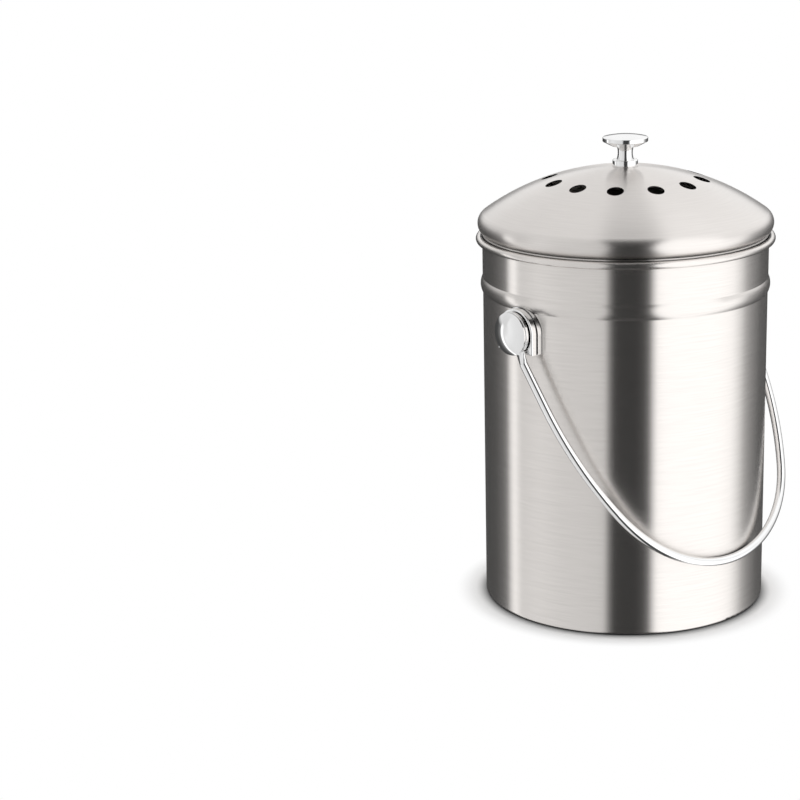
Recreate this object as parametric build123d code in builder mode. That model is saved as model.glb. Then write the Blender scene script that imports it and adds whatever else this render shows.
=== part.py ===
from build123d import *
from math import asin, atan2, cos, degrees, hypot, radians, sin, sqrt, tan
import os

# A stainless compost pail: bucket, lift-off plug lid with a charcoal pad, and a swinging bail.
# Millimetres, +Z up. The origin is the centre of the base, where the pail stands.
# The bail turns about X, has an ear on each side at -X and +X, and hangs in front, at -Y.

# --- Bucket ---------------------------------------------------------------------------------
body_radius = 84.4          # outside of the wall below the bead
body_wall = 0.6             # sheet thickness of wall, base and rim
base_corner = 2.2           # outside radius between base and wall
bead_bottom = 188.6         # lower crease of the stiffening bead
bead_width = 9.0            # height of the bead
bead_bulge = 1.3            # how far the bead stands out of the wall
mouth_step = 0.2            # the wall above the bead is this much fuller
rim_height = 222.57         # top of the rolled rim
rim_roll_radius = 2.2       # outside radius of the roll
rim_roll_end = 246.0        # degrees at which the curled sheet ends, from +X, over the top to the wall

# --- Lid ------------------------------------------------------------------------------------
lid_wall = 0.6              # sheet thickness of the lid
neck_clearance = 1.6        # between the plug neck and the mouth
seat_clearance = 0.3        # between the seat bead and the rim roll
seat_bead_radius = 1.3      # small bead under the shoulder, which sits on the rim
seat_bead_offset = 0.7      # the bead's centre lies this far outside the neck's surface
shoulder_rise = 7.01        # centre of the shoulder above the centre of the seat bead
shoulder_radius = 7.0       # section radius of the round shoulder
lid_overhang = 4.9          # how far the shoulder's widest point lies outside the neck
crown_radius = 145.0        # radius of the dome
plug_depth = 25.6           # from the seat bead's centre down to the underside of the plate
vent_radius = 4.9
vent_ring_radius = 45.0
vent_count = 12
vent_turn = 6.5             # degrees from +X to the first vent

# --- Filter plate and charcoal pad -----------------------------------------------------------
plate_thickness = 0.6
plate_lip_height = 1.7      # the lip that is clinched up round the neck
plate_corner = 0.9          # outside radius of the plate's edge
plate_fit = 0.05            # between the lip and the neck
filter_hole_radius = 51.0
hole_flange_height = 1.4    # the hole's edge is turned up, and the pad lies on it
filter_clearance = 6.4      # between the pad and the inside of the neck
filter_thickness = 9.0
filter_edge = 0.8

# --- Knob -----------------------------------------------------------------------------------
knob_height = 18.65         # from the dome to the top of the knob
knob_radius = 13.35         # widest point of the head
knob_edge = 2.4             # thickness of the head's edge
knob_round = 0.6            # rounding of the head's edge
knob_crown = 1.6            # how far the head's top bulges
knob_cone_depth = 2.8       # height of the cone under the head
knob_cone_foot = 7.9        # radius where the cone meets the flat underside
knob_neck_radius = 5.05     # at both ends of the neck
knob_waist_radius = 4.4     # in the middle of the neck
collar_radius = 7.45
collar_height = 4.1
collar_edge = 0.9
knob_rim_width = 1.45       # the collar stands on a narrow ring
knob_recess = 0.4           # hollow inside that ring
knob_bore_depth = 10.0
screw_radius = 2.0
screw_fit = 0.03            # between the screw and the knob's bore
screw_clearance = 0.2       # between the screw and the holes of the dome and the washer
screw_head_radius = 4.0
screw_head_height = 2.4
screw_head_round = 1.2
screw_slot_width = 1.0
screw_slot_length = 4.6
screw_slot_depth = 1.3
screw_engagement = 8.0      # length of the screw above the dome
washer_radius = 6.0
washer_thickness = 1.0

# --- Ears, pins and caps ----------------------------------------------------------------------
pivot_height = 177.0
ear_depth = 6.5             # from the wall to the ear's outer face
ear_sheet = 1.2             # thickness of the ear's face, and of its side where the groove is
ear_foot_radius = 14.4      # arch radius of the part next to the wall
ear_front_radius = 14.0     # arch radius of the front part
ear_groove_radius = 13.2    # arch radius in the groove between them
ear_foot_depth = 1.9        # from the wall to the groove
ear_groove_width = 1.0
ear_drop = 11.3             # how far the ear reaches below the pivot
ear_edge = 0.9              # rounding of the front edge
spacer_radius = 6.2
spacer_thickness = 0.8
spacer_fit = 0.1            # radial, between the pin and the spacer
axial_clearance = 0.15      # on each side of the bail's eye
pin_radius = 2.5
pin_running_fit = 0.08      # radial, between the pin and the bail's eye
pin_head_radius = 4.6
pin_head_height = 1.5
pin_head_edge = 0.4
pin_engagement = 3.0        # length of the pin in the cap
cap_fit = 0.02              # radial, between the pin and the cap's bore
cap_radius = 12.3
cap_edge = 0.9              # straight edge of the cap below its dome
cap_dome = 4.1

# --- Bail -----------------------------------------------------------------------------------
rod_radius = 2.5
leg_standoff = 0.7          # the leg's line passes the eye this far outside a rod flush with it
bail_rim_clearance = 0.75   # between a raised leg and the rim
bail_leg = 46.8             # straight part of each leg, measured along the bail from the pivot
bail_side_radius = 192.0    # long curve below each leg
bail_bow_radius = 79.9      # curve of the bow
bail_rest_clearance = 0.45  # between the hanging bow and the wall
eye_radius = 12.8
eye_thickness = 2.0
eye_edge = 0.4
flat_half_width = 3.4       # half the width of the flattened rod
flat_inset = 0.05           # the flattened rod lies this deep inside the eye's faces
flat_past_cap = 0.1         # the rod stays flat until it is this far past the cap's edge
flat_overlap = 2.0          # length of the flattened rod before that, inside the eye
swell_length = 6.6          # from there to where the rod is round

# --- Worked out -------------------------------------------------------------------------------
mouth_radius = body_radius + mouth_step
mouth_inner = mouth_radius - body_wall
bead_top = bead_bottom + bead_width
roll_center = (mouth_inner + rim_roll_radius, rim_height - rim_roll_radius)
neck_radius = mouth_inner - neck_clearance
neck_inner = neck_radius - lid_wall
lid_radius = neck_radius + lid_overhang
bead_center_r = neck_radius + seat_bead_offset
seat_reach = rim_roll_radius + seat_bead_radius + seat_clearance
bead_center_z = roll_center[1] + sqrt(seat_reach**2 - (roll_center[0] - bead_center_r) ** 2)
shoulder_center = (lid_radius - shoulder_radius, bead_center_z + shoulder_rise)
crown_center = shoulder_center[1] - sqrt(
    (crown_radius - shoulder_radius) ** 2 - shoulder_center[0] ** 2
)
apex = crown_center + crown_radius
plate_bottom = bead_center_z - plug_depth
plate_top = plate_bottom + plate_thickness
filter_radius = neck_inner - filter_clearance
ear_face = body_radius + ear_depth
ear_foot_face = body_radius + ear_foot_depth
eye_inner = ear_face + spacer_thickness + axial_clearance
cap_face = eye_inner + eye_thickness + axial_clearance


def ring_point(center, radius, angle):
    """A point on a circle in a section, with the angle in degrees from the outward direction."""
    return (center[0] + radius * cos(radians(angle)), center[1] + radius * sin(radians(angle)))


def crown_height(radius, sheet=0.0):
    """Height of the dome at a distance from the axis, on its outside or a sheet's depth below."""
    return crown_center + sqrt((crown_radius - sheet) ** 2 - radius**2)


def side_plane(side, distance):
    """A plane across the pivot axis that faces out, its origin on that axis."""
    return Plane(origin=(side * distance, 0, pivot_height), x_dir=(0, side, 0), z_dir=(side, 0, 0))


def wall_outline(depth):
    """Draws the wall's line from the base corner's end to the mouth, a depth below its surface."""
    middle = (bead_bottom + bead_top) / 2
    Line((body_radius - depth, base_corner), (body_radius - depth, bead_bottom))
    ThreePointArc(
        (body_radius - depth, bead_bottom),
        (body_radius + bead_bulge + mouth_step / 2 - depth, middle),
        (mouth_radius - depth, bead_top),
    )
    Line((mouth_radius - depth, bead_top), (mouth_radius - depth, roll_center[1]))


# --- Bucket: one drawn shell with a rolled rim --------------------------------------------------
with BuildPart() as bucket:
    with BuildSketch(Plane.XZ):
        with BuildLine():
            # outside of the sheet, from the axis to the mouth
            corner = (body_radius - base_corner, base_corner)
            Line((0, 0), (body_radius - base_corner, 0))
            ThreePointArc(
                (body_radius - base_corner, 0),
                ring_point(corner, base_corner, -45),
                (body_radius, base_corner),
            )
            wall_outline(0)
            # the roll: back of the curled sheet, its cut end, then its outside down to the mouth
            curl_inner = rim_roll_radius - body_wall
            curl_middle = (180 + rim_roll_end - 360) / 2
            ThreePointArc(
                (mouth_radius, roll_center[1]),
                ring_point(roll_center, curl_inner, curl_middle),
                ring_point(roll_center, curl_inner, rim_roll_end),
            )
            Line(
                ring_point(roll_center, curl_inner, rim_roll_end),
                ring_point(roll_center, rim_roll_radius, rim_roll_end),
            )
            ThreePointArc(
                ring_point(roll_center, rim_roll_radius, rim_roll_end),
                ring_point(roll_center, rim_roll_radius, curl_middle),
                (mouth_inner, roll_center[1]),
            )
            # inside of the sheet, back to the axis
            wall_outline(body_wall)
            ThreePointArc(
                (body_radius - body_wall, base_corner),
                ring_point(corner, base_corner - body_wall, -45),
                (body_radius - base_corner, body_wall),
            )
            Line((body_radius - base_corner, body_wall), (0, body_wall))
            Line((0, body_wall), (0, 0))
        make_face()
    revolve(axis=Axis.Z)


# --- Lid shell: dome, shoulder, seat bead and plug neck, with the vents ---------------------------
def crown_angle():
    """Direction, seen from the shoulder's centre, in which it meets the dome."""
    return degrees(atan2(shoulder_center[1] - crown_center, shoulder_center[0]))


def bead_meets_shoulder():
    """Where the seat bead's outside runs into the shoulder's underside."""
    across = bead_center_r - shoulder_center[0]
    down = bead_center_z - shoulder_center[1]
    gap = hypot(across, down)
    along = (gap**2 + shoulder_radius**2 - seat_bead_radius**2) / (2 * gap)
    aside = sqrt(shoulder_radius**2 - along**2)
    return (
        shoulder_center[0] + (along * across - aside * down) / gap,
        shoulder_center[1] + (along * down + aside * across) / gap,
    )


with BuildPart() as lid_shell:
    with BuildSketch(Plane.XZ):
        with BuildLine():
            bead_center = (bead_center_r, bead_center_z)
            shoulder_start = ring_point(shoulder_center, shoulder_radius, crown_angle())
            bead_joint = bead_meets_shoulder()
            neck_joint = (neck_radius, bead_center_z - sqrt(seat_bead_radius**2 - seat_bead_offset**2))
            neck_end = plate_top
            inner_shoulder = shoulder_radius - lid_wall
            inner_start = ring_point(shoulder_center, inner_shoulder, crown_angle())
            inner_reach = neck_inner - shoulder_center[0]
            inner_joint = (neck_inner, shoulder_center[1] - sqrt(inner_shoulder**2 - inner_reach**2))
            # outside: dome, shoulder, seat bead, neck
            ThreePointArc(
                (0, apex),
                (shoulder_start[0] / 2, crown_height(shoulder_start[0] / 2)),
                shoulder_start,
            )
            ThreePointArc(shoulder_start, (lid_radius, shoulder_center[1]), bead_joint)
            ThreePointArc(bead_joint, ring_point(bead_center, seat_bead_radius, -40), neck_joint)
            Line(neck_joint, (neck_radius, neck_end))
            Line((neck_radius, neck_end), (neck_inner, neck_end))
            # inside, back to the axis
            Line((neck_inner, neck_end), inner_joint)
            ThreePointArc(
                inner_joint,
                ring_point(shoulder_center, inner_shoulder, 0),
                inner_start,
            )
            ThreePointArc(
                inner_start,
                (inner_start[0] / 2, crown_height(inner_start[0] / 2, lid_wall)),
                (0, apex - lid_wall),
            )
            Line((0, apex - lid_wall), (0, apex))
        make_face()
    revolve(axis=Axis.Z)
    with BuildSketch(Plane.XY.offset(crown_center)):
        with PolarLocations(vent_ring_radius, vent_count, start_angle=vent_turn):
            Circle(vent_radius)
        Circle(screw_radius + screw_clearance)
    extrude(amount=crown_radius + lid_wall, mode=Mode.SUBTRACT)


# --- Filter plate: clinched over the neck's end, with the hole that the pad shows through ----------
with BuildPart() as lid_filter_plate:
    with BuildSketch(Plane.XZ):
        with BuildLine():
            lip_inner = neck_radius + plate_fit
            lip_outer = lip_inner + plate_thickness
            lip_top = plate_top + plate_lip_height
            edge_center = (lip_outer - plate_corner, plate_bottom + plate_corner)
            hole_inner = filter_hole_radius + plate_thickness
            flange_top = plate_top + hole_flange_height
            Polyline(
                (filter_hole_radius, flange_top),
                (filter_hole_radius, plate_bottom),
                (edge_center[0], plate_bottom),
            )
            ThreePointArc(
                (edge_center[0], plate_bottom),
                ring_point(edge_center, plate_corner, -45),
                (lip_outer, edge_center[1]),
            )
            Polyline(
                (lip_outer, edge_center[1]),
                (lip_outer, lip_top),
                (lip_inner, lip_top),
                (lip_inner, plate_top),
                (hole_inner, plate_top),
                (hole_inner, flange_top),
                (filter_hole_radius, flange_top),
            )
        make_face()
    revolve(axis=Axis.Z)


# --- Charcoal pad: lies on the hole's turned-up edge ------------------------------------------------
with BuildPart() as charcoal_filter:
    with BuildSketch(Plane.XY.offset(plate_top + hole_flange_height)):
        Circle(filter_radius)
    extrude(amount=filter_thickness)
    fillet(charcoal_filter.edges(), filter_edge)


# --- Knob: one turned piece with a blind bore for the screw ------------------------------------------
with BuildPart() as lid_knob:
    with BuildSketch(Plane.XZ) as knob_section:
        with BuildLine():
            ring_inner = collar_radius - knob_rim_width
            knob_foot = crown_height(ring_inner)
            collar_top = knob_foot + collar_height
            knob_top = apex + knob_height
            edge_top = knob_top - knob_crown
            edge_bottom = edge_top - knob_edge
            cone_foot = edge_bottom - knob_cone_depth
            bore_radius = screw_radius + screw_fit
            bore_end = knob_foot + knob_bore_depth
            head_sphere = (knob_radius**2 + knob_crown**2) / (2 * knob_crown)
            half_way = knob_radius / 2
            half_way_top = knob_top - head_sphere + sqrt(head_sphere**2 - half_way**2)
            Polyline(
                (bore_radius, knob_foot + knob_recess),
                (ring_inner, knob_foot + knob_recess),
                (ring_inner, knob_foot),
                (collar_radius, knob_foot),
                (collar_radius, collar_top),
                (knob_neck_radius, collar_top),
            )
            ThreePointArc(
                (knob_neck_radius, collar_top),
                (knob_waist_radius, (collar_top + cone_foot) / 2),
                (knob_neck_radius, cone_foot),
            )
            Polyline(
                (knob_neck_radius, cone_foot),
                (knob_cone_foot, cone_foot),
                (knob_radius, edge_bottom),
                (knob_radius, edge_top),
            )
            ThreePointArc((knob_radius, edge_top), (half_way, half_way_top), (0, knob_top))
            Polyline(
                (0, knob_top),
                (0, bore_end),
                (bore_radius, bore_end),
                (bore_radius, knob_foot + knob_recess),
            )
        make_face()
        fillet(knob_section.vertices().group_by(Axis.X)[-1], knob_round)
        collar_corners = knob_section.vertices().filter_by(
            lambda corner: abs(corner.X - collar_radius) < collar_edge / 10
        )
        fillet(collar_corners.sort_by(Axis.Y)[-1], collar_edge)
    revolve(axis=Axis.Z)


# --- Knob's screw and washer, inside the dome ---------------------------------------------------------
washer_top = crown_height(washer_radius, lid_wall)
washer_bottom = washer_top - washer_thickness
screw_foot = washer_bottom - screw_head_height

with BuildPart() as knob_washer:
    with BuildSketch(Plane.XY.offset(washer_bottom)):
        Circle(washer_radius)
        Circle(screw_radius + screw_clearance, mode=Mode.SUBTRACT)
    extrude(amount=washer_thickness)

with BuildPart() as knob_screw:
    with BuildSketch(Plane.XY.offset(screw_foot)):
        Circle(screw_head_radius)
    extrude(amount=screw_head_height)
    fillet(knob_screw.edges().sort_by(Axis.Z)[0], screw_head_round)
    with BuildSketch(Plane.XY.offset(screw_foot)):
        Rectangle(screw_slot_length, screw_slot_width)
        Rectangle(screw_slot_width, screw_slot_length)
    extrude(amount=screw_slot_depth, mode=Mode.SUBTRACT)
    with BuildSketch(Plane.XY.offset(washer_bottom)):
        Circle(screw_radius)
    extrude(amount=apex + screw_engagement - washer_bottom)


# --- Ears ---------------------------------------------------------------------------------------------
def arch_outline(radius):
    """Draws a half circle about the pivot, with straight sides down to the ear's lower edge."""
    ThreePointArc((radius, 0), (0, radius), (-radius, 0))
    Polyline((-radius, 0), (-radius, -ear_drop), (radius, -ear_drop), (radius, 0))


def make_ear(side):
    """A pressed ear: foot, groove and front, hollow, cut to lie on the wall and its bead."""
    outward = Axis((0, 0, 0), (side, 0, 0))
    root = body_radius - ear_foot_radius / 2
    groove_face = ear_foot_face + ear_groove_width
    cavity_radius = ear_groove_radius - ear_sheet
    with BuildPart() as ear:
        with BuildSketch(side_plane(side, groove_face)):
            with BuildLine():
                arch_outline(ear_front_radius)
            make_face()
        extrude(amount=ear_face - groove_face)
        fillet(ear.faces().sort_by(outward)[-1].edges(), ear_edge)
        with BuildSketch(side_plane(side, root)):
            with BuildLine():
                arch_outline(ear_groove_radius)
            make_face()
        extrude(amount=groove_face - root)
        with BuildSketch(side_plane(side, root)):
            with BuildLine():
                arch_outline(ear_foot_radius)
            make_face()
        extrude(amount=ear_foot_face - root)
        # the hollow behind the face, open below
        with BuildSketch(side_plane(side, root)):
            Circle(cavity_radius)
            with Locations((0, -ear_drop)):
                Rectangle(2 * cavity_radius, 2 * ear_drop)
        extrude(amount=ear_face - ear_sheet - root, mode=Mode.SUBTRACT)
        with BuildSketch(side_plane(side, root)):
            Circle(pin_radius)
        extrude(amount=ear_face - root, mode=Mode.SUBTRACT)
        # everything behind the wall's outside goes
        with BuildSketch(Plane.XZ):
            with BuildLine():
                Line((0, base_corner), (body_radius, base_corner))
                wall_outline(0)
                Polyline(
                    (mouth_radius, roll_center[1]),
                    (0, roll_center[1]),
                    (0, base_corner),
                )
            make_face()
        revolve(axis=Axis.Z, mode=Mode.SUBTRACT)
    return ear.part


# --- Pins, spacers and caps -------------------------------------------------------------------------
def make_pin(side):
    """A headed pin: head behind the ear's face, shank through ear, spacer and eye into the cap."""
    seat = ear_face - ear_sheet
    outward = Axis((0, 0, 0), (side, 0, 0))
    with BuildPart() as pin:
        with BuildSketch(side_plane(side, seat - pin_head_height)):
            Circle(pin_head_radius)
        extrude(amount=pin_head_height)
        fillet(pin.edges().sort_by(outward)[0], pin_head_edge)
        with BuildSketch(side_plane(side, seat)):
            Circle(pin_radius)
        extrude(amount=cap_face + pin_engagement - seat)
    return pin.part


def make_spacer(side):
    """A flat washer between ear and eye."""
    with BuildPart() as spacer:
        with BuildSketch(side_plane(side, ear_face)):
            Circle(spacer_radius)
            Circle(pin_radius + spacer_fit, mode=Mode.SUBTRACT)
        extrude(amount=spacer_thickness)
    return spacer.part


def make_cap(side):
    """A domed cap with a blind bore for the pin."""
    dome_radius = (cap_radius**2 + cap_dome**2) / (2 * cap_dome)
    half_way = cap_radius / 2
    half_way_dome = cap_dome - dome_radius + sqrt(dome_radius**2 - half_way**2)
    with BuildPart() as cap:
        # the section lies across the pivot axis: first coordinate outward, second upward
        with BuildSketch(Plane((0, 0, pivot_height), x_dir=(side, 0, 0), z_dir=(0, -side, 0))):
            with BuildLine():
                edge_end = cap_face + cap_edge
                bore_bottom = cap_face + pin_engagement
                bore_radius = pin_radius + cap_fit
                Polyline(
                    (edge_end + cap_dome, 0),
                    (bore_bottom, 0),
                    (bore_bottom, bore_radius),
                    (cap_face, bore_radius),
                    (cap_face, cap_radius),
                    (edge_end, cap_radius),
                )
                ThreePointArc(
                    (edge_end, cap_radius),
                    (edge_end + half_way_dome, half_way),
                    (edge_end + cap_dome, 0),
                )
            make_face()
        revolve(axis=Axis((0, 0, pivot_height), (1, 0, 0)))
    return cap.part


# --- Bail: one bent rod with a flattened eye at each end ----------------------------------------------
bail_half_width = eye_inner + rod_radius + leg_standoff
rim_pass = roll_center[0] + rim_roll_radius + bail_rim_clearance + rod_radius
leg_lean = atan2(bail_half_width - rim_pass, roll_center[1] - pivot_height)
leg_foot = (bail_half_width - bail_leg * tan(leg_lean), bail_leg)
side_center = (
    leg_foot[0] - bail_side_radius * cos(leg_lean),
    leg_foot[1] - bail_side_radius * sin(leg_lean),
)
bow_center = side_center[1] + sqrt(
    (bail_side_radius - bail_bow_radius) ** 2 - side_center[0] ** 2
)
bail_reach = bow_center + bail_bow_radius
side_turn = degrees(atan2(bow_center - side_center[1], -side_center[0]) - leg_lean)
bow_turn = 180 - 2 * degrees(leg_lean) - 2 * side_turn
rest_angle = asin((body_radius + bail_rest_clearance + rod_radius) / bail_reach)


# the bail's own plane: first coordinate along the pivot axis, second up along the hanging bail
bail_plane = Plane(
    origin=(0, 0, pivot_height),
    x_dir=(1, 0, 0),
    z_dir=(0, -cos(rest_angle), sin(rest_angle)),
)


flat_end = cap_radius + flat_past_cap
round_start = flat_end + swell_length


def leg_point(side, down):
    """A point of the leg's centre line in the bail's plane, a distance down from the pivot."""
    return (side * (bail_half_width - down * tan(leg_lean)), -down)


def leg_section(side, across, down, lean):
    """A plane across the leg, its first direction square to the bail's plane."""
    return Plane(
        origin=bail_plane.from_local_coords((across, -down, 0)),
        x_dir=bail_plane.z_dir,
        z_dir=bail_plane.x_dir * (-side * sin(lean)) - bail_plane.y_dir * cos(lean),
    )


with BuildPart() as bail_handle:
    for side in (-1, 1):
        with BuildSketch(side_plane(side, eye_inner)):
            Circle(eye_radius)
        extrude(amount=eye_thickness)
    fillet(bail_handle.edges().filter_by(GeomType.CIRCLE), eye_edge)
    # each end runs from a flat section inside the eye, past the cap, to the round rod
    for side in (-1, 1):
        eye_middle = side * (eye_inner + eye_thickness / 2)
        for down in (flat_end - flat_overlap, flat_end):
            with BuildSketch(leg_section(side, eye_middle, down, 0)):
                Ellipse(flat_half_width, eye_thickness / 2 - flat_inset)
        with BuildSketch(leg_section(side, leg_point(side, round_start)[0], round_start, leg_lean)):
            Circle(rod_radius)
        loft(ruled=True)
    # the rod: straight leg, side curve, bow, side curve, straight leg
    with BuildLine(bail_plane):
        down_the_leg = (sin(leg_lean), -cos(leg_lean))
        Line(leg_point(-1, round_start), leg_point(-1, bail_leg))
        near_side = JernArc(leg_point(-1, bail_leg), down_the_leg, bail_side_radius, side_turn)
        bow = JernArc(near_side @ 1, near_side % 1, bail_bow_radius, bow_turn)
        JernArc(bow @ 1, bow % 1, bail_side_radius, side_turn)
        Line(leg_point(1, bail_leg), leg_point(1, round_start))
    with BuildSketch(leg_section(-1, leg_point(-1, round_start)[0], round_start, leg_lean)):
        Circle(rod_radius)
    sweep()
    for side in (-1, 1):
        with BuildSketch(side_plane(side, eye_inner)):
            Circle(pin_radius + pin_running_fit)
        extrude(amount=eye_thickness, mode=Mode.SUBTRACT)


# --- Write every piece ----------------------------------------------------------------------------------
pieces = {
    "bucket": bucket.part,
    "lid_shell": lid_shell.part,
    "lid_filter_plate": lid_filter_plate.part,
    "charcoal_filter": charcoal_filter.part,
    "lid_knob": lid_knob.part,
    "knob_screw": knob_screw.part,
    "knob_washer": knob_washer.part,
    "bail_handle": bail_handle.part,
}
for side, side_name in ((-1, "left"), (1, "right")):
    pieces[f"ear_{side_name}"] = make_ear(side)
    pieces[f"pivot_pin_{side_name}"] = make_pin(side)
    pieces[f"spacer_washer_{side_name}"] = make_spacer(side)
    pieces[f"pivot_cap_{side_name}"] = make_cap(side)

os.makedirs("parts", exist_ok=True)
for name, piece in pieces.items():
    piece.label = name
    export_step(piece, f"parts/{name}.step")
print(f"crown {apex:.3f}, plate {plate_bottom:.3f}, reach {bail_reach:.3f}, rest {degrees(rest_angle):.3f}")
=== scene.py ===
# The look of the compost caddy: finishes, the charcoal pad, studio and camera.
# Metres, in the caddy's own frame: +Z up, ears at -X and +X, the bail hanging at -Y.
import math

import bmesh
import bpy
from mathutils import Matrix, Vector, noise


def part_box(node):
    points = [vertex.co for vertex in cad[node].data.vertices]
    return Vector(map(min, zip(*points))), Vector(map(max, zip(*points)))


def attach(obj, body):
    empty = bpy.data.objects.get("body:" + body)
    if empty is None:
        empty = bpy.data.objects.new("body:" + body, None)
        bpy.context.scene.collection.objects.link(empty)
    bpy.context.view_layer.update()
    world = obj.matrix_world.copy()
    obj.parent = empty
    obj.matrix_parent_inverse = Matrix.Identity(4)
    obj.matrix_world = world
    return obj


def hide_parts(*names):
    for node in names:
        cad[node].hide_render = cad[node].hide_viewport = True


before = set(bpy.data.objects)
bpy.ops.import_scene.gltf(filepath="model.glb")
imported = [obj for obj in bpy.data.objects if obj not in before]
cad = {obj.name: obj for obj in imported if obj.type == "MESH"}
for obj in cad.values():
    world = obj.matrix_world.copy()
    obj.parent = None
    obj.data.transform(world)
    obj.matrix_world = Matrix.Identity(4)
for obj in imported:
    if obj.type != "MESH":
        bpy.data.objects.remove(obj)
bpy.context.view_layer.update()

MM = 0.001

# --- Camera: where it stood, what it was aimed at, and its lens ----------------------------------
camera_place = Vector((-0.95683, -0.90823, 0.48287))
camera_aim = Vector((-0.17245, 0.00701, 0.15183))
camera_roll = math.radians(-1.267)
camera_lens = 101.25
camera_sensor = 36.0
camera_near = 0.05
camera_far = 60.0
tent_bearing = math.atan2(camera_place.x, -camera_place.y)  # the way the tent faces, from -Y towards +X

# --- Studio: a light tent, as brightness seen by metal -------------------------------------------
# Front panels, by how far a direction points across the tent: -1 is its left, 1 its right.
front_panels = [
    (-1.00, 0.74),
    (-0.94, 0.88),
    (-0.75, 0.79),
    (-0.51, 0.76),
    (-0.36, 0.74),
    (-0.25, 0.74),
    (-0.19, 0.22),
    (-0.13, 0.05),
    (0.15, 0.045),
    (0.25, 0.07),
    (0.33, 0.16),
    (0.385, 0.95),
    (0.43, 1.36),
    (1.00, 1.38),
]
# Side and rear panels below the horizon, by degrees from straight behind: negative is on the left.
rear_panels = [
    (-90, 0.74),
    (-85, 0.80),
    (-82, 1.30),
    (-75, 1.30),
    (-71, 0.26),
    (-62, 0.14),
    (-50, 0.07),
    (-36, 0.06),
    (0, 0.05),
    (40, 0.11),
    (56, 0.27),
    (66, 0.48),
    (74, 0.96),
    (84, 1.34),
]
# The backdrop behind the caddy, above the horizon, across the tent as the front panels are.
backdrop_panels = [
    (-1.00, 0.68),
    (-0.60, 0.86),
    (-0.30, 0.96),
    (0.30, 1.04),
    (0.60, 1.16),
    (1.00, 0.94),
]
backdrop_edge = (-0.20, -0.04)  # how far back a direction points where the roof meets the backdrop
side_edge = (-0.04, 0.04)       # the same where the front panels meet the rear ones
horizon = (0.00, 0.20)          # how far up it points where the low panels give way to the high ones
fill_light = 1.00               # what the tent gives to matte surfaces

floor_white = 0.94
floor_roughness = 0.9
floor_reach = 14.0
floor_corners = 96
shadow_edge = (0.088, 0.104)    # radii between which the floor's shadow gives way to plain white
shadow_core = (0.081, 0.0915)   # radii between which the painted shadow line under the foot gives way to white
shadow_tone = 0.12              # how dark that painted shadow line is

# --- Finishes -------------------------------------------------------------------------------------
brushed_dark = (0.745, 0.712, 0.686)
brushed_light = (0.81, 0.777, 0.75)
wall_roughness = 0.24
lid_roughness = 0.30
ring_scale = 2600.0             # fine brushed rings, per metre along the sheet
ring_change = 2.2               # how fast a ring's tone changes round the piece
streak_scale = 700.0            # broader streaks among them
streak_change = 5.0
streak_share = 0.25             # their share in the tone
ring_contrast = (0.25, 0.75)    # between these the tone goes from dark to light
ring_gloss = 0.06               # how far the rings change the roughness
ring_relief = (0.06, 0.04 * MM)     # strength and depth of the rings as a relief
mirror_tone = (0.93, 0.93, 0.93)
mirror_roughness = 0.06
smudge_scale = 90.0             # faint smudges on polished pieces
smudge_contrast = (0.3, 0.7)
smudge_tone = 0.95              # how bright the metal is under the dullest smudge
smudge_matt = (0.45, 0.8)       # between these the metal turns rougher
smudge_gloss = 0.04             # and this is how far
buffing_scale = 260.0           # shallow waves that buffing leaves
buffing_relief = (0.03, 0.1 * MM)
painted_shade = (0.03, 0.03, 0.03)       # painted shade: the near-black put into creases, the vents' cut walls, the ears' groove and the line round the ears

vent_count = 12
vent_ring = 45 * MM
vent_radius = 4.9 * MM
vent_turn = math.radians(6.5)
vent_shade_band = (0.06 * MM, 0.02 * MM)   # how far outside a vent the painted shade on its cut wall begins and is full
wall_radius = 84.4 * MM
groove = (86.3 * MM, 87.3 * MM)     # the ears' groove, which is given painted shade, by distance from the plane between the ears
groove_blur = 0.15 * MM
ear_shade_width = (0.2 * MM, 0.5 * MM)   # the painted shade line round an ear, out from the wall
crease_reach = 3.0 * MM         # a surface this near brings painted shade into a crease
crease_range = (0.26, 0.66)     # how much open sky turns a crease fully to painted shade, and how much leaves it clear
steepest_lean = 120.0           # a turned normal leans at most this much per metre from its axis

# --- The charcoal pad -----------------------------------------------------------------------------
fibre_scale = 900.0
fibre_contrast = (0.35, 0.75)
fibre_dark = (0.006, 0.006, 0.006)
fibre_light = (0.028, 0.028, 0.027)
fibre_relief = (0.9, 0.6 * MM)
speck_scale = 260.0
speck_size = (0.16, 0.06)       # how far from its middle a speck begins and is full
speck_tone = (0.10, 0.10, 0.10)
speck_share = 0.5
pad_rows = 26                   # rings of faces on each side, from the middle to the edge
pad_turn = 160                  # faces in each ring
pad_edge_steps = 12             # faces round the cut edge
pad_round = 2.6 * MM            # how far the cut edge is rounded
pad_wave = 0.45 * MM            # how far the faces rise and fall
pad_waves = [(55.0, 0.7), (210.0, 0.3)]     # the waves' scales, per metre, and their shares
pad_side_room = 0.2 * MM        # how far the pad stays inside its solid
pad_face_room = 0.1 * MM


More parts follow.
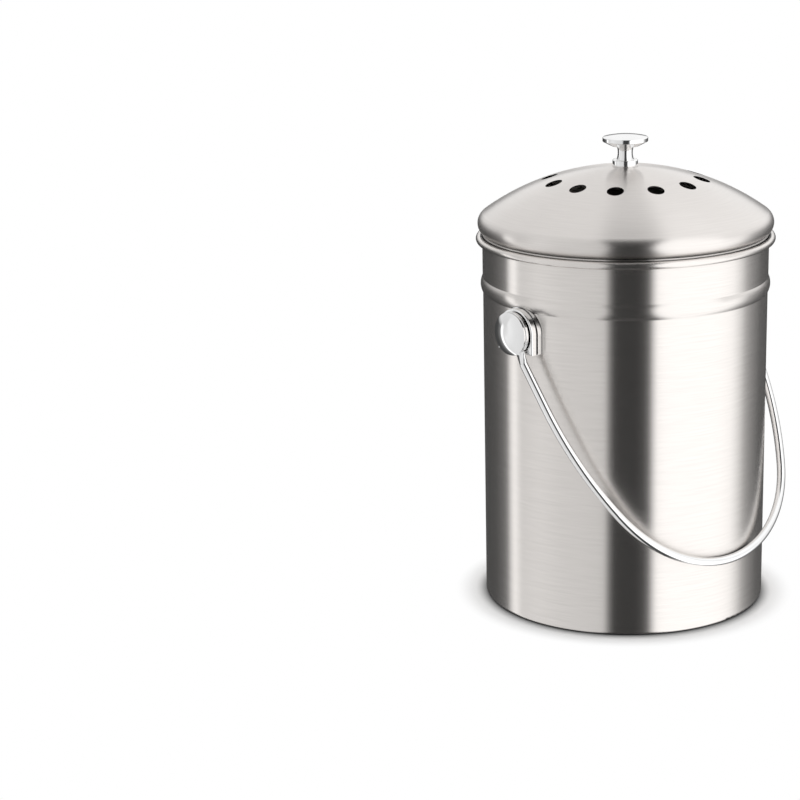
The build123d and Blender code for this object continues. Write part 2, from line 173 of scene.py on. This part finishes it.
class Link:
    """A socket in a node tree. Python's operators on it add Math nodes."""

    def __init__(self, nodes, socket):
        self.nodes = nodes
        self.socket = socket

    def __add__(self, other):
        return self.nodes.maths("ADD", self, other)

    def __radd__(self, other):
        return self.nodes.maths("ADD", other, self)

    def __sub__(self, other):
        return self.nodes.maths("SUBTRACT", self, other)

    def __rsub__(self, other):
        return self.nodes.maths("SUBTRACT", other, self)

    def __mul__(self, other):
        return self.nodes.maths("MULTIPLY", self, other)

    def __rmul__(self, other):
        return self.nodes.maths("MULTIPLY", other, self)

    def __truediv__(self, other):
        return self.nodes.maths("DIVIDE", self, other)

    def __rtruediv__(self, other):
        return self.nodes.maths("DIVIDE", other, self)

    def larger(self, other):
        return self.nodes.maths("MAXIMUM", self, other)

    def smaller(self, other):
        return self.nodes.maths("MINIMUM", self, other)

    def clipped(self):
        return self.nodes.add("ShaderNodeClamp", {}, self, 0.0, 1.0)

    def toward(self, other, amount):
        """This value where amount is 0, the other where it is 1."""
        return self * (1.0 - amount) + amount * other

    def between(self, low, high):
        """0 at low, 1 at high, smooth between them and level beyond. Low may be the larger one."""
        return self.nodes.add(
            "ShaderNodeMapRange", {"interpolation_type": "SMOOTHSTEP"}, self, low, high, 0.0, 1.0
        )


class Nodes:
    """A node tree that is filled from Python."""

    def __init__(self, tree):
        self.tree = tree
        tree.nodes.clear()

    def node(self, kind, settings, *values, **named):
        """Adds a node, applies its settings, then gives its sockets values or links."""
        node = self.tree.nodes.new(kind)
        for key, value in settings.items():
            if key == "stops":
                self.fill_ramp(node.color_ramp, value)
            else:
                setattr(node, key, value)
        for index, value in enumerate(values):
            self.give(node.inputs[index], value)
        for key, value in named.items():
            self.give(node.inputs[key.replace("_", " ")], value)
        return node

    def add(self, kind, settings, *values, output=0, **named):
        """Adds a node in the same way, and gives one of its outputs."""
        return Link(self, self.node(kind, settings, *values, **named).outputs[output])

    def fill_ramp(self, ramp, stops):
        while len(ramp.elements) > 1:
            ramp.elements.remove(ramp.elements[-1])
        for index, (place, tone) in enumerate(stops):
            stop = ramp.elements[0] if index == 0 else ramp.elements.new(place)
            stop.position = place
            stop.color = (tone, tone, tone, 1.0)

    def give(self, socket, value):
        if isinstance(value, Link):
            self.tree.links.new(value.socket, socket)
        elif value is not None:
            socket.default_value = value

    def maths(self, operation, *values):
        return self.add("ShaderNodeMath", {"operation": operation}, *values)

    def length(self, first, second):
        return self.maths("SQRT", first * first + second * second)

    def xyz(self, vector):
        split = self.node("ShaderNodeSeparateXYZ", {}, vector)
        return [Link(self, socket) for socket in split.outputs]

    def vector(self, x, y, z):
        return self.add("ShaderNodeCombineXYZ", {}, x, y, z)

    def panels(self, stops, along):
        return self.add("ShaderNodeValToRGB", {"stops": stops}, along)


class Finish(Nodes):
    """A material with one Principled shader."""

    def __init__(self, name, **constants):
        self.material = bpy.data.materials.new(name)
        self.material.use_nodes = True
        super().__init__(self.material.node_tree)
        self.shader = self.node("ShaderNodeBsdfPrincipled", {}, **constants)
        self.surface = Link(self, self.shader.outputs[0])
        self.out = self.node("ShaderNodeOutputMaterial", {}, Surface=self.surface)
        self.place = self.add("ShaderNodeTexCoord", {}, output="Object")

    def set(self, socket, value):
        self.give(self.shader.inputs[socket], value)

    def paint(self, colour):
        """Gives the shader its colour, and keeps it for later layers."""
        self.colour = colour
        self.set("Base Color", colour)

    def wear(self, *pieces):
        for piece in pieces:
            piece.data.materials.clear()
            piece.data.materials.append(self.material)

    def noise(self, vector, scale, detail=2.0, rough=0.5):
        return self.add(
            "ShaderNodeTexNoise", {}, Vector=vector, Scale=scale, Detail=detail, Roughness=rough
        )

    def mixed(self, amount, first, second):
        """One colour where amount is 0, the other where it is 1."""
        colours = [(*tone, 1.0) if isinstance(tone, tuple) else tone for tone in (first, second)]
        # the sockets for colours are the node's inputs 6 and 7 and its output 2
        unused = [None] * 5
        return self.add(
            "ShaderNodeMix", {"data_type": "RGBA"}, amount, *unused, *colours, output=2
        )

    def bump(self, height, relief, normal=None):
        """Gives the shader a relief of a strength and a depth, on a normal of its own if it has one."""
        strength, depth = relief
        self.set("Normal", self.add(
            "ShaderNodeBump", {}, Strength=strength, Distance=depth, Height=height, Normal=normal
        ))

    def turned_normal(self, axis="Z", height=0.0):
        """The true normal of a piece turned about the Z axis, or about X at a height.

        It has none of the small breaks that facets and the solid's seam leave in the mesh.
        """
        x, y, z = self.xyz(self.place)
        normal_x, normal_y, normal_z = self.xyz(self.add("ShaderNodeTexCoord", {}, output="Normal"))
        if axis == "Z":
            first, second, first_part, second_part = x, y, normal_x, normal_y
        else:
            first, second, first_part, second_part = y, z - height, normal_y, normal_z
        radius = self.length(first, second) + 1e-6     # never zero, even on the axis
        outwards = self.maths("SIGN", first * first_part + second * second_part)
        lean = self.length(first_part, second_part).smaller(radius * steepest_lean)
        slant = lean * outwards / radius
        if axis == "Z":
            normal = self.vector(first * slant, second * slant, normal_z)
        else:
            normal = self.vector(normal_x, first * slant, second * slant)
        return self.add(
            "ShaderNodeVectorTransform",
            {"vector_type": "NORMAL", "convert_from": "OBJECT", "convert_to": "WORLD"},
            normal,
        )


def lathe_brushed(name, roughness):
    """Sheet brushed on a lathe: fine rings round the axis on walls, domes and flats alike."""
    finish = Finish(name, Metallic=1.0, Anisotropic=0.97, Anisotropic_Rotation=0.25)
    x, y, z = finish.xyz(finish.place)
    radius = finish.length(x, y) + 1e-5     # never zero, even on the axis
    along = radius - z
    east = x / radius
    north = y / radius
    rings = finish.noise(
        finish.vector(east * ring_change, north * ring_change, along * ring_scale), 1.0, 2.0, 0.6
    )
    streaks = finish.noise(
        finish.vector(east * streak_change, north * streak_change, along * streak_scale), 1.0, 1.0
    )
    tone = (rings * (1 - streak_share) + streaks * streak_share).between(*ring_contrast)
    finish.paint(finish.mixed(tone, brushed_dark, brushed_light))
    finish.set("Roughness", roughness + (rings - 0.5) * ring_gloss)
    finish.bump(rings, ring_relief, finish.turned_normal())
    return finish


def shade_creases(finish):
    """Paints shade into narrow creases, such as the one between lid and rim, where light is lost."""
    open_sky = finish.add(
        "ShaderNodeAmbientOcclusion", {"samples": 16}, Distance=crease_reach, output="AO"
    )
    # painted shade: the colour turns near black where ambient occlusion finds a surface close by
    finish.paint(finish.mixed(open_sky.between(*crease_range), painted_shade, finish.colour))


def paint_vent_shade(finish):
    """Paints shade on the cut walls of the vents, where one looks into the dark inside of the lid."""
    x, y, _ = finish.xyz(finish.place)
    turn = finish.maths("ARCTAN2", y, x) - vent_turn
    from_vent = finish.maths("PINGPONG", turn, math.pi / vent_count)
    radius = finish.length(x, y)
    towards_vent = radius * finish.maths("COSINE", from_vent)
    squared = radius * radius + vent_ring ** 2 - 2 * vent_ring * towards_vent
    faint, full = vent_shade_band
    cut = finish.maths("SQRT", squared).between(vent_radius + faint, vent_radius + full)
    # painted shade on the vents' cut walls
    finish.paint(finish.mixed(cut, finish.colour, painted_shade))


def paint_ear_shade(finish):
    """Paints shade into the ears' groove and along the line where they meet the wall."""
    x, y, _ = finish.xyz(finish.place)
    outwards = finish.maths("ABSOLUTE", x)
    low, high = groove
    in_groove = outwards.between(low, low + groove_blur) * outwards.between(high, high - groove_blur)
    full, faint = ear_shade_width
    seam = finish.length(x, y).between(wall_radius + faint, wall_radius + full)
    # painted shade in the groove and in the crease along the wall
    finish.paint(finish.mixed(in_groove.larger(seam), finish.colour, painted_shade))


def polished(name, tone, roughness, pivot_height=None):
    """Polished steel: clear reflections, with faint smudges and buffing waves.

    A piece turned about the bail's axis is given the height of that axis.
    """
    finish = Finish(name, Metallic=1.0)
    smudge = finish.noise(finish.place, smudge_scale, 3.0)
    waves = finish.noise(finish.place, buffing_scale, 1.0)
    smudged = tuple(smudge_tone * part for part in tone)
    finish.paint(finish.mixed(smudge.between(*smudge_contrast), smudged, tone))
    finish.set("Roughness", roughness + smudge.between(*smudge_matt) * smudge_gloss)
    normal = None if pivot_height is None else finish.turned_normal("X", pivot_height)
    finish.bump(waves, buffing_relief, normal)
    return finish


def charcoal_felt():
    """Matted black fibres with a few paler specks of carbon dust."""
    felt = Finish("charcoal felt", Roughness=0.95, Metallic=0.0, Sheen_Weight=0.12)
    fibres = felt.noise(felt.place, fibre_scale, 4.0, 0.7)
    from_speck = felt.add(
        "ShaderNodeTexVoronoi", {"feature": "F1"}, Vector=felt.place, Scale=speck_scale
    )
    cloth = felt.mixed(fibres.between(*fibre_contrast), fibre_dark, fibre_light)
    felt.paint(felt.mixed(from_speck.between(*speck_size) * speck_share, cloth, speck_tone))
    felt.bump(fibres, fibre_relief)
    return felt


def dress_steel():
    """Gives every steel piece its finish."""
    lathe_brushed("brushed steel", lid_roughness).wear(cad["lid_filter_plate"])
    wall_steel = lathe_brushed("brushed wall steel", wall_roughness)
    shade_creases(wall_steel)
    wall_steel.wear(cad["bucket"])
    lid_steel = lathe_brushed("brushed lid steel", lid_roughness)
    shade_creases(lid_steel)
    paint_vent_shade(lid_steel)
    lid_steel.wear(cad["lid_shell"])

    chrome = polished("polished steel", mirror_tone, mirror_roughness)
    chrome.wear(cad["bail_handle"], cad["lid_knob"])
    cap_low, cap_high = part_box("pivot_cap_left")
    cap_height = (cap_low[2] + cap_high[2]) / 2
    cap_steel = polished("polished cap steel", (0.95, 0.95, 0.95), mirror_roughness, cap_height)
    cap_steel.wear(cad["pivot_cap_left"], cad["pivot_cap_right"])
    ear_steel = polished("polished ear steel", mirror_tone, mirror_roughness)
    paint_ear_shade(ear_steel)
    ear_steel.wear(cad["ear_left"], cad["ear_right"])

    plain = polished("plain steel", (0.68, 0.68, 0.69), 0.3)
    plain.wear(cad["knob_screw"], cad["knob_washer"])
    # The pins and spacer washers sit in the gap between ear and cap; their near-black tone is painted
    # shade.
    gap_shade = polished("oiled steel", (0.20, 0.20, 0.20), 0.35)
    gap_shade.wear(
        cad["pivot_pin_left"], cad["pivot_pin_right"],
        cad["spacer_washer_left"], cad["spacer_washer_right"],
    )


def new_piece(name, mesh):
    """Makes an object of a bmesh, and frees the bmesh."""
    data = bpy.data.meshes.new(name)
    mesh.to_mesh(data)
    mesh.free()
    piece = bpy.data.objects.new(name, data)
    bpy.context.scene.collection.objects.link(piece)
    return piece


def make_pad():
    """A cut disc of felt, soft at its edge and not quite flat."""
    low, high = [Vector(corner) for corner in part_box("charcoal_filter")]
    bottom = low.z + pad_face_room
    top = high.z - pad_face_room
    middle = (bottom + top) / 2
    flat = (high.x - low.x) / 2 - pad_side_room - pad_round
    out_from_middle = [flat * row / pad_rows for row in range(pad_rows + 1)]

    profile = [(radius, bottom) for radius in out_from_middle]
    for step in range(1, pad_edge_steps):
        turn = math.pi * step / pad_edge_steps - math.pi / 2
        profile.append((flat + pad_round * math.cos(turn), middle + (top - middle) * math.sin(turn)))
    profile += [(radius, top) for radius in reversed(out_from_middle)]

    mesh = bmesh.new()
    corners = [mesh.verts.new((radius, 0.0, height)) for radius, height in profile]
    edges = [mesh.edges.new(pair) for pair in zip(corners, corners[1:])]
    bmesh.ops.spin(
        mesh, geom=corners + edges, cent=(0, 0, 0), axis=(0, 0, 1), angle=math.tau, steps=pad_turn,
        use_merge=True,
    )
    bmesh.ops.remove_doubles(mesh, verts=mesh.verts, dist=1e-6)
    bmesh.ops.recalc_face_normals(mesh, faces=mesh.faces)
    for corner in mesh.verts:
        wave = sum(noise.noise(corner.co * scale) * share for scale, share in pad_waves)
        inwards = 1 if corner.co.z < middle else -1
        corner.co.z += inwards * pad_wave * (0.5 + 0.5 * wave)

    pad = new_piece("charcoal_pad", mesh)
    for face in pad.data.polygons:
        face.use_smooth = True
    charcoal_felt().wear(pad)
    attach(pad, "lid")
    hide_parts("charcoal_filter")


def across_stops(panels):
    """A ramp's stops run from 0 to 1, and the panels' places from -1 to 1."""
    return [((place + 1) / 2, level) for place, level in panels]


def make_tent():
    """White to the eye; to metal, a light tent whose panels differ in brightness."""
    world = bpy.data.worlds.new("light tent")
    bpy.context.scene.world = world
    world.use_nodes = True
    tent = Nodes(world.node_tree)
    x, y, up = tent.xyz(tent.add("ShaderNodeTexCoord", {}, output="Generated"))
    across = x * math.cos(tent_bearing) + y * math.sin(tent_bearing)
    back = y * math.cos(tent_bearing) - x * math.sin(tent_bearing)
    from_left = (across + 1.0) / 2.0
    from_behind = tent.maths("ARCTAN2", across, back) / math.tau + 0.5
    front = tent.panels(across_stops(front_panels), from_left)
    backdrop = tent.panels(across_stops(backdrop_panels), from_left)
    rear = tent.panels([(angle / 360 + 0.5, level) for angle, level in rear_panels], from_behind)
    low = front.toward(rear, back.between(*side_edge))
    high = front.toward(backdrop, back.between(*backdrop_edge))
    seen_by_metal = low.toward(high, up.between(*horizon))

    camera_ray = tent.add("ShaderNodeLightPath", {}, output="Is Camera Ray")
    shiny_ray = tent.add("ShaderNodeLightPath", {}, output="Is Glossy Ray")
    through_ray = tent.add("ShaderNodeLightPath", {}, output="Is Transmission Ray")
    lit = seen_by_metal * shiny_ray + (1.0 - shiny_ray) * fill_light
    strength = lit.toward(1.0, (camera_ray + through_ray).clipped())
    background = tent.add("ShaderNodeBackground", {}, (1.0, 1.0, 1.0, 1.0), strength)
    tent.node("ShaderNodeOutputWorld", {}, Surface=background)


def make_floor():
    """A plain pale floor: it keeps the shadow at the caddy's foot, has a painted shadow line right
    under the foot, and is plain white further out.
    """
    mesh = bmesh.new()
    bmesh.ops.create_circle(mesh, cap_ends=True, radius=floor_reach, segments=floor_corners)
    floor = new_piece("floor", mesh)
    paper = Finish("floor paper", Roughness=floor_roughness)
    x, y, _ = paper.xyz(paper.place)
    radius = paper.length(x, y)
    # painted shadow: the floor's colour turns dark in a ring right under the foot
    paper.paint(paper.mixed(radius.between(*shadow_core), (shadow_tone,) * 3, (floor_white,) * 3))
    camera_ray = paper.add("ShaderNodeLightPath", {}, output="Is Camera Ray")
    glow = paper.add("ShaderNodeEmission", {}, Strength=1.0)
    far_out = radius.between(*shadow_edge) * camera_ray
    blend = paper.add("ShaderNodeMixShader", {}, far_out, paper.surface, glow)
    paper.give(paper.out.inputs["Surface"], blend)
    paper.wear(floor)
    floor.visible_glossy = False


def make_camera():
    lens = bpy.data.cameras.new("camera")
    lens.sensor_width = camera_sensor
    lens.lens = camera_lens
    lens.clip_start = camera_near
    lens.clip_end = camera_far
    camera = bpy.data.objects.new("camera", lens)
    bpy.context.scene.collection.objects.link(camera)
    look = (camera_aim - camera_place).to_track_quat("-Z", "Y")
    roll = Matrix.Rotation(camera_roll, 4, "Z")
    camera.matrix_world = Matrix.Translation(camera_place) @ look.to_matrix().to_4x4() @ roll
    bpy.context.scene.camera = camera


dress_steel()
make_pad()
make_tent()
make_floor()
make_camera()
bpy.context.scene.view_settings.view_transform = "Standard"
